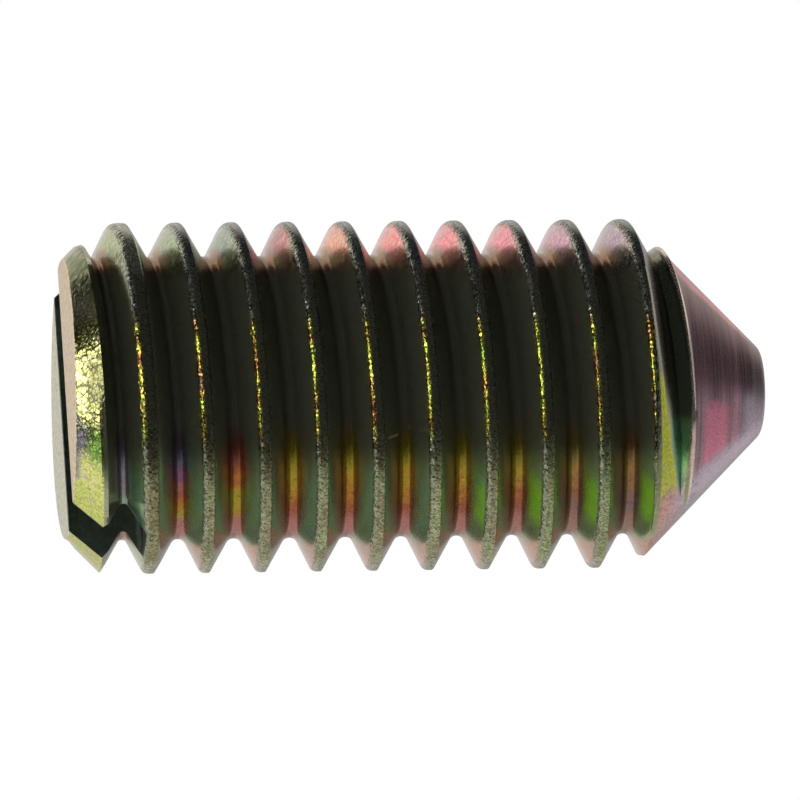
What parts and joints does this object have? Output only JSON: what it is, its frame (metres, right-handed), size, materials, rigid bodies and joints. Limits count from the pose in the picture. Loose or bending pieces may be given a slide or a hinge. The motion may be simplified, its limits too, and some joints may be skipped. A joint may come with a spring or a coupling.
{
  "type": "grub set screw",
  "caption": "Slotted headless set screw with a coarse right-hand thread and a blunt cone point, which locks a collar, knob or pulley on its shaft.",
  "frame": {"origin": "centre of the flat slotted end, on the screw's axis", "axes": "+Z along the screw's axis from the slotted end to the cone point, X along the screwdriver slot"},
  "size_m": [0.0078, 0.0078, 0.0157],
  "materials": {
    "zinc_yellow_steel": "zinc plate with an iridescent yellow passivate, rolled thread, turned point"
  },
  "bodies": {
    "root": {"set_screw": "zinc_yellow_steel"}
  },
  "joints": []
}
